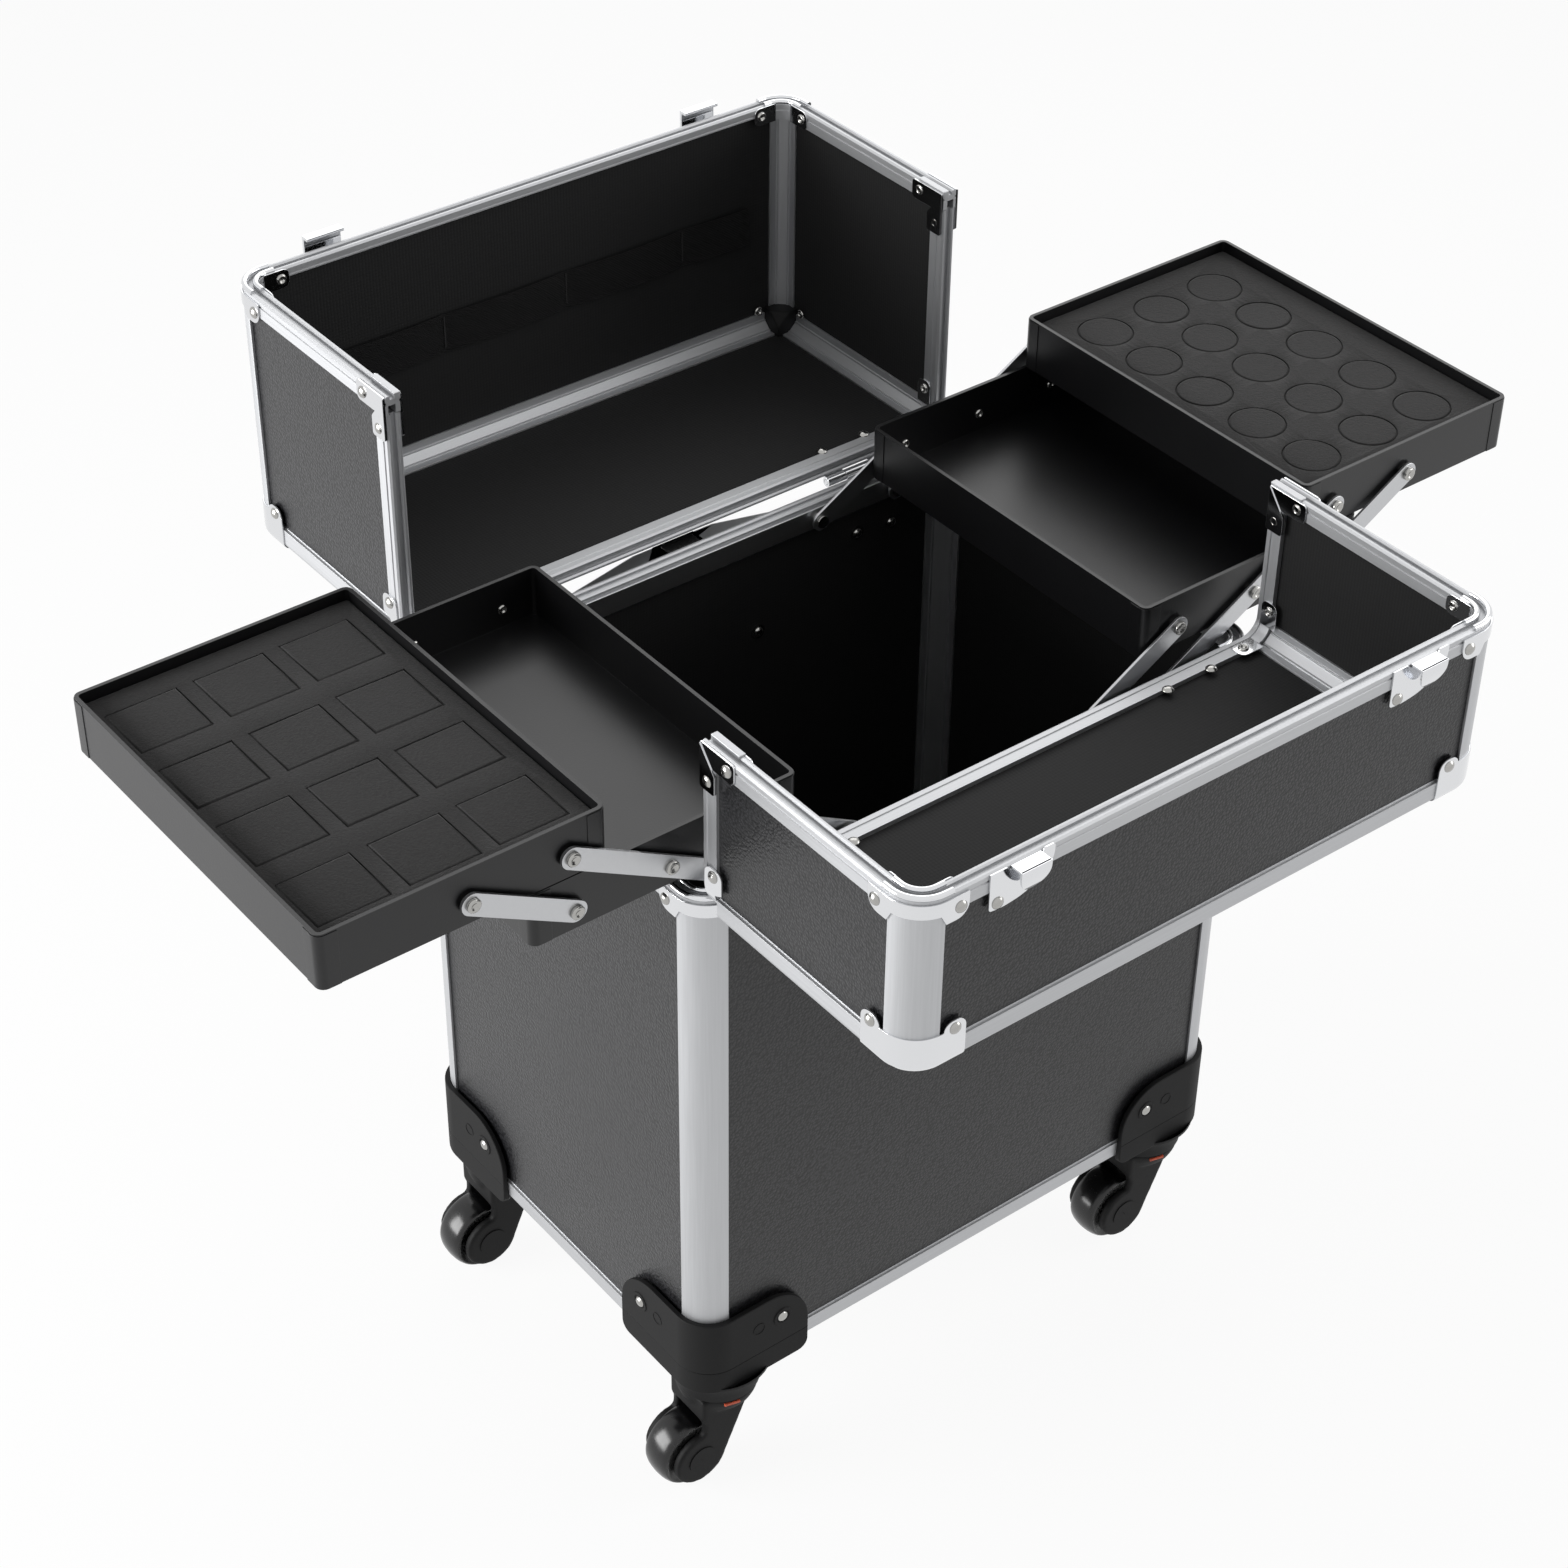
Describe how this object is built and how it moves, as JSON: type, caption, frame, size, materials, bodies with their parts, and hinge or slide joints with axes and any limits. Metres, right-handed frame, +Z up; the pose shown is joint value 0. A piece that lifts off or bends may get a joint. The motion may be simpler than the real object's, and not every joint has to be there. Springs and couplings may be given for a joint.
{
  "type": "makeup train case",
  "caption": "Rolling aluminium-edged makeup train case, open: clamshell lids swung to front and rear, cantilever trays with foam inserts swung to both sides.",
  "frame": {"origin": "on the floor under the middle of the case", "axes": "+X to the right along the long side, +Y to the rear, +Z up"},
  "size_m": [0.699, 0.5353, 0.5425],
  "materials": {
    "panel": "fine leather grain, satin",
    "aluminium": "satin anodised",
    "chrome": "bright nickel plate",
    "steel": "satin",
    "rivet": "bright",
    "moulded_black": "semi-gloss moulded",
    "wheel": "semi-gloss",
    "tray": "smooth matte",
    "foam": "open-cell foam"
  },
  "bodies": {
    "case": {"body_edge_rails": "aluminium", "body_floor_panel": "panel", "body_front_panel": "panel", "body_hinges": "chrome", "body_rear_panel": "panel", "body_rim_corner_plates": "chrome", "body_rivets": "rivet", "body_side_panels": "panel", "body_top_rim": "aluminium", "caster_brackets": "moulded_black", "handle_sleeves": "moulded_black", "tray_rail_studs": "steel", "tray_rails": "steel"},
    "front_lid": {"front_lid_corner_fittings": "chrome", "front_lid_edge_rails": "aluminium", "front_lid_end_panels": "panel", "front_lid_hinge_leaves": "chrome", "front_lid_latch_plates": "chrome", "front_lid_rims": "aluminium", "front_lid_rivets": "rivet", "front_lid_top_panel": "panel", "front_lid_wall_panel": "panel"},
    "rear_lid": {"rear_lid_corner_fittings": "chrome", "rear_lid_edge_rails": "aluminium", "rear_lid_end_panels": "panel", "rear_lid_hinge_leaves": "chrome", "rear_lid_latch_plates": "chrome", "rear_lid_rims": "aluminium", "rear_lid_rivets": "rivet", "rear_lid_top_panel": "panel", "rear_lid_wall_panel": "panel"},
    "hasp_left": {"hasp_left": "chrome"},
    "hasp_right": {"hasp_right": "chrome"},
    "handle": {"handle_tubes": "aluminium", "handle_grip": "moulded_black"},
    "handle_button": {"handle_button": "moulded_black"},
    "left_lower_tray": {"left_lower_tray": "tray", "left_lower_tray_studs": "steel"},
    "left_upper_tray": {"left_upper_tray": "tray", "left_upper_tray_studs": "steel", "left_foam": "foam"},
    "left_base_arms": {"left_base_arms": "steel"},
    "left_long_arms": {"left_long_arms": "steel"},
    "left_top_arms": {"left_top_arms": "steel"},
    "right_lower_tray": {"right_lower_tray": "tray", "right_lower_tray_studs": "steel"},
    "right_upper_tray": {"right_upper_tray": "tray", "right_upper_tray_studs": "steel", "right_foam": "foam"},
    "right_base_arms": {"right_base_arms": "steel"},
    "right_long_arms": {"right_long_arms": "steel"},
    "right_top_arms": {"right_top_arms": "steel"},
    "caster_front_left": {"caster_fork_front_left": "moulded_black"},
    "wheel_front_left": {"caster_wheel_front_left": "wheel"},
    "caster_front_right": {"caster_fork_front_right": "moulded_black"},
    "wheel_front_right": {"caster_wheel_front_right": "wheel"},
    "caster_rear_left": {"caster_fork_rear_left": "moulded_black"},
    "wheel_rear_left": {"caster_wheel_rear_left": "wheel"},
    "caster_rear_right": {"caster_fork_rear_right": "moulded_black"},
    "wheel_rear_right": {"caster_wheel_rear_right": "wheel"}
  },
  "joints": [
    {"name": "front_lid_hinge", "type": "hinge", "parent": "case", "child": "front_lid", "pos_m": [0, -0.1205, 0.3935], "axis": [-1, 0, 0], "range_deg": [0, 22]},
    {"name": "rear_lid_hinge", "type": "hinge", "parent": "case", "child": "rear_lid", "pos_m": [0, 0.1205, 0.3935], "axis": [1, 0, 0], "range_deg": [0, 22]},
    {"name": "hasp_left_hinge", "type": "hinge", "parent": "rear_lid", "child": "hasp_left", "pos_m": [-0.1146, 0.2651, 0.5195], "axis": [-1, 0, 0], "range_deg": [0, 100]},
    {"name": "hasp_right_hinge", "type": "hinge", "parent": "rear_lid", "child": "hasp_right", "pos_m": [0.1146, 0.2651, 0.5195], "axis": [-1, 0, 0], "range_deg": [0, 100]},
    {"name": "left_long_arms_hinge", "type": "hinge", "parent": "case", "child": "left_long_arms", "pos_m": [-0.12446, 0, 0.3834], "axis": [0, 1, 0], "range_deg": [0, 120]},
    {"name": "left_base_arms_hinge", "type": "hinge", "parent": "case", "child": "left_base_arms", "pos_m": [-0.07426, 0, 0.3834], "axis": [0, 1, 0], "range_deg": [0, 120]},
    {"name": "left_lower_tray_hinge", "type": "hinge", "parent": "left_long_arms", "child": "left_lower_tray", "pos_m": [-0.17573, 0, 0.413], "axis": [0, 1, 0], "range_deg": [-120, 0]},
    {"name": "left_upper_tray_hinge", "type": "hinge", "parent": "left_long_arms", "child": "left_upper_tray", "pos_m": [-0.22699, 0, 0.4426], "axis": [0, 1, 0], "range_deg": [-120, 0]},
    {"name": "left_top_arms_hinge", "type": "hinge", "parent": "left_lower_tray", "child": "left_top_arms", "pos_m": [-0.22593, 0, 0.413], "axis": [0, 1, 0], "range_deg": [0, 120]},
    {"name": "right_long_arms_hinge", "type": "hinge", "parent": "case", "child": "right_long_arms", "pos_m": [0.12446, 0, 0.3834], "axis": [0, -1, 0], "range_deg": [0, 120]},
    {"name": "right_base_arms_hinge", "type": "hinge", "parent": "case", "child": "right_base_arms", "pos_m": [0.07426, 0, 0.3834], "axis": [0, -1, 0], "range_deg": [0, 120]},
    {"name": "right_lower_tray_hinge", "type": "hinge", "parent": "right_long_arms", "child": "right_lower_tray", "pos_m": [0.17573, 0, 0.413], "axis": [0, -1, 0], "range_deg": [-120, 0]},
    {"name": "right_upper_tray_hinge", "type": "hinge", "parent": "right_long_arms", "child": "right_upper_tray", "pos_m": [0.22699, 0, 0.4426], "axis": [0, -1, 0], "range_deg": [-120, 0]},
    {"name": "right_top_arms_hinge", "type": "hinge", "parent": "right_lower_tray", "child": "right_top_arms", "pos_m": [0.22593, 0, 0.413], "axis": [0, -1, 0], "range_deg": [0, 120]},
    {"name": "handle_slide", "type": "slide", "parent": "case", "child": "handle", "axis": [0, 0, 1], "range_m": [0, 0.009]},
    {"name": "handle_button_slide", "type": "slide", "parent": "handle", "child": "handle_button", "axis": [0, 0, 1], "range_m": [-0.0025, 0], "stiffness_N_per_m": 300},
    {"name": "caster_front_left_swivel", "type": "hinge", "parent": "case", "child": "caster_front_left", "pos_m": [-0.145, -0.096, 0.055], "axis": [0, 0, 1], "continuous": true},
    {"name": "wheel_front_left_spin", "type": "hinge", "parent": "caster_front_left", "child": "wheel_front_left", "pos_m": [-0.165, -0.096, 0.021], "axis": [0, 1, 0], "continuous": true},
    {"name": "caster_front_right_swivel", "type": "hinge", "parent": "case", "child": "caster_front_right", "pos_m": [0.145, -0.096, 0.055], "axis": [0, 0, 1], "continuous": true},
    {"name": "wheel_front_right_spin", "type": "hinge", "parent": "caster_front_right", "child": "wheel_front_right", "pos_m": [0.125, -0.096, 0.021], "axis": [0, 1, 0], "continuous": true},
    {"name": "caster_rear_left_swivel", "type": "hinge", "parent": "case", "child": "caster_rear_left", "pos_m": [-0.145, 0.096, 0.055], "axis": [0, 0, 1], "continuous": true},
    {"name": "wheel_rear_left_spin", "type": "hinge", "parent": "caster_rear_left", "child": "wheel_rear_left", "pos_m": [-0.165, 0.096, 0.021], "axis": [0, 1, 0], "continuous": true},
    {"name": "caster_rear_right_swivel", "type": "hinge", "parent": "case", "child": "caster_rear_right", "pos_m": [0.145, 0.096, 0.055], "axis": [0, 0, 1], "continuous": true},
    {"name": "wheel_rear_right_spin", "type": "hinge", "parent": "caster_rear_right", "child": "wheel_rear_right", "pos_m": [0.125, 0.096, 0.021], "axis": [0, 1, 0], "continuous": true}
  ],
  "couplings": [
    {"joint": "left_base_arms_hinge", "follows": "left_long_arms_hinge", "ratio": 1},
    {"joint": "left_lower_tray_hinge", "follows": "left_long_arms_hinge", "ratio": -1},
    {"joint": "left_upper_tray_hinge", "follows": "left_long_arms_hinge", "ratio": -1},
    {"joint": "left_top_arms_hinge", "follows": "left_long_arms_hinge", "ratio": 1},
    {"joint": "right_base_arms_hinge", "follows": "right_long_arms_hinge", "ratio": 1},
    {"joint": "right_lower_tray_hinge", "follows": "right_long_arms_hinge", "ratio": -1},
    {"joint": "right_upper_tray_hinge", "follows": "right_long_arms_hinge", "ratio": -1},
    {"joint": "right_top_arms_hinge", "follows": "right_long_arms_hinge", "ratio": 1}
  ]
}
